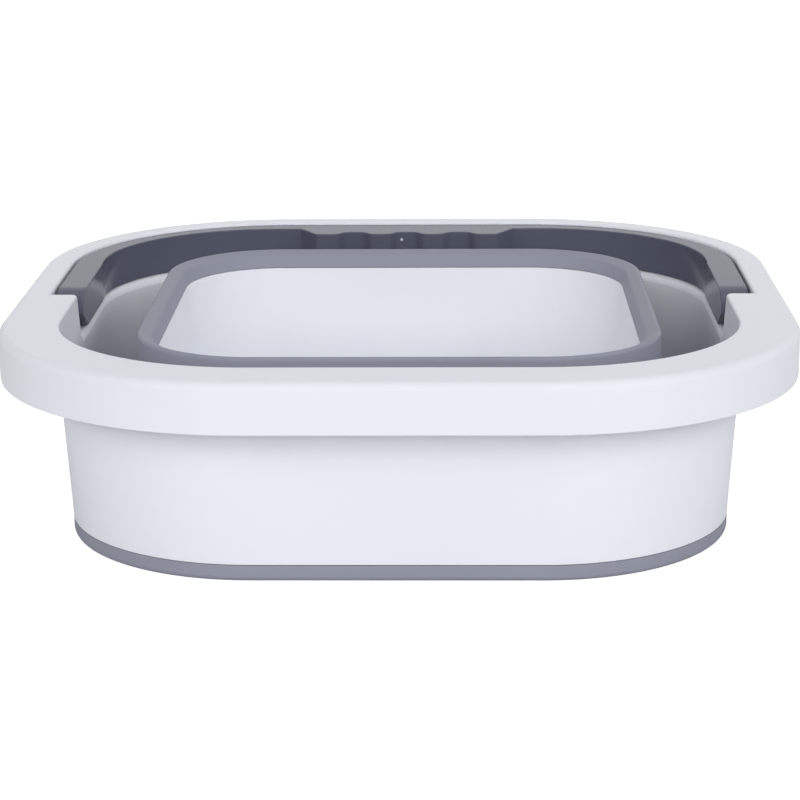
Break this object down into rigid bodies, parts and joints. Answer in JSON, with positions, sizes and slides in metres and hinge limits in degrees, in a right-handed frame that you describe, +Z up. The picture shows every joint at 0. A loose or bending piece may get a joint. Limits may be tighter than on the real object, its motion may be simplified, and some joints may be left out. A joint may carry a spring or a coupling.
{
  "type": "collapsible bucket",
  "caption": "Square collapsible bucket, folded flat: rimmed ring and nested tub joined by a folding elastomer sleeve, with a swing-up carrying handle seated in the rim.",
  "frame": {"origin": "centre of the whole object's footprint, on the surface that the tub's foot ring stands on", "axes": "+Z up; +X along the handle's hinge axis; -Y towards the front, +Y towards the side where the handle lies"},
  "size_m": [0.32, 0.32, 0.0852],
  "materials": {
    "white_plastic": "satin moulded polypropylene",
    "grey_elastomer": "satin soft elastomer",
    "grey_plastic": "glossy moulded plastic"
  },
  "bodies": {
    "tub_body": {"tub": "white_plastic", "tub_lip_band": "grey_elastomer", "folding_sleeve": "grey_elastomer"},
    "frame_body": {"upper_frame": "white_plastic", "frame_edge_band": "grey_elastomer"},
    "handle_body": {"handle": "grey_plastic"}
  },
  "joints": [
    {"name": "frame_lift", "type": "slide", "parent": "tub_body", "child": "frame_body", "axis": [0, 0, 1], "range_m": [0, 0.1435], "deforming": ["folding_sleeve"]},
    {"name": "handle_swing", "type": "hinge", "parent": "frame_body", "child": "handle_body", "pos_m": [0, 0.002, 0.07587], "axis": [1, 0, 0], "range_deg": [0, 110]}
  ]
}
